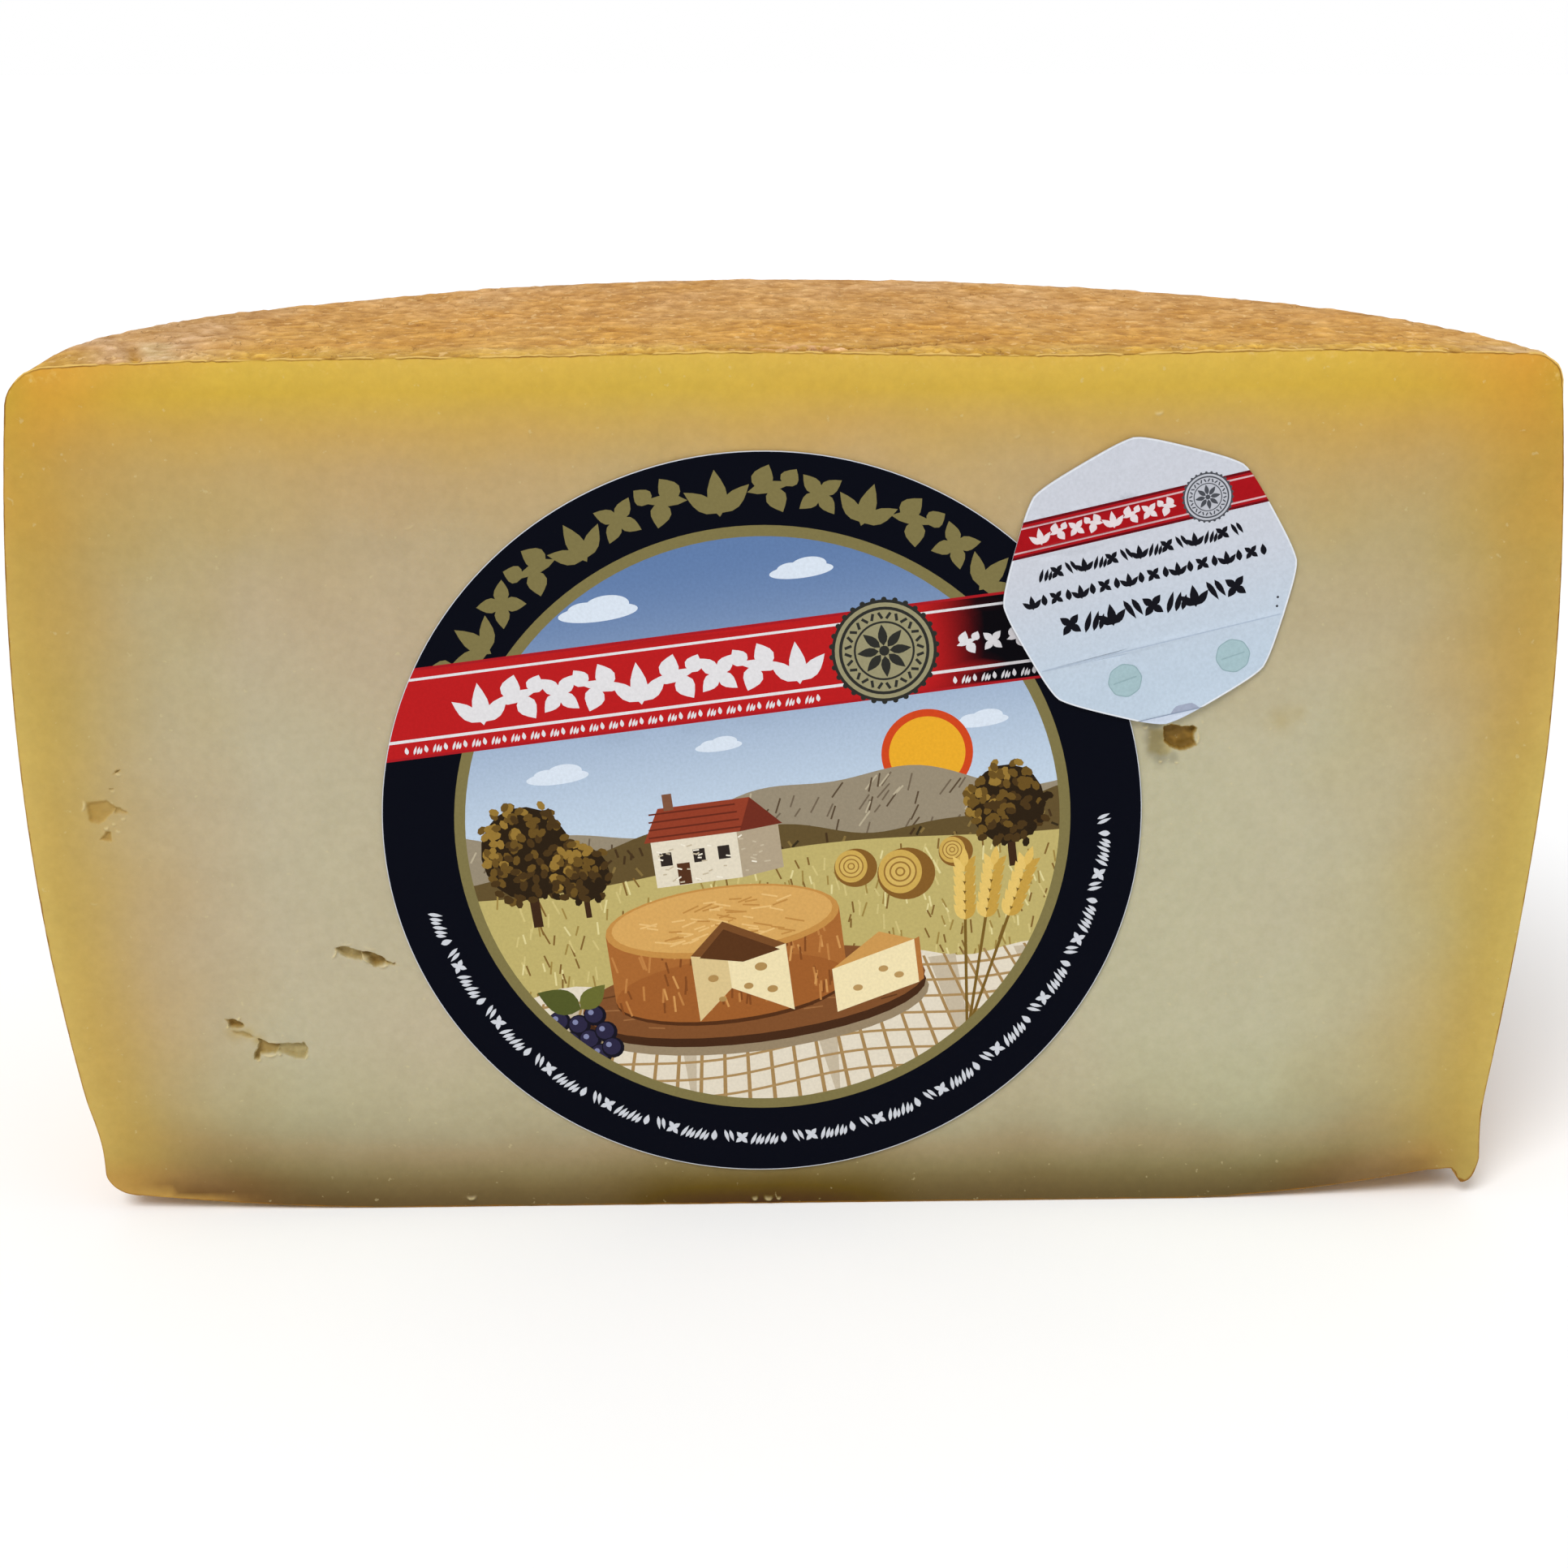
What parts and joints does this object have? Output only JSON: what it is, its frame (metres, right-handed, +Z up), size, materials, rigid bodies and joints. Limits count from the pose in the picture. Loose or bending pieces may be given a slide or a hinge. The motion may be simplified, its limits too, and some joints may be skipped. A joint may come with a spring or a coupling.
{
  "type": "half wheel of smoked sheep's milk cheese",
  "caption": "Half wheel of hard smoked cheese with a golden-brown rind, standing on its base, with a round paper label and a small eight-sided sticker on the flat cut face.",
  "frame": {"origin": "centre of the bounding box's footprint, on the base", "axes": "+X along the cut face, to the right as seen from the front; +Y from the cut face back into the cheese; +Z up, out of the wheel's top"},
  "size_m": [0.14, 0.0706, 0.082],
  "materials": {
    "cheese": "slightly waxy cut paste, straw to golden towards a dry tan-brown smoked rind",
    "label_print": "coated printed paper, satin",
    "sticker_print": "coated printed paper, satin"
  },
  "bodies": {
    "root": {"cheese": "cheese", "round_label": "label_print", "control_sticker": "sticker_print"}
  },
  "joints": []
}
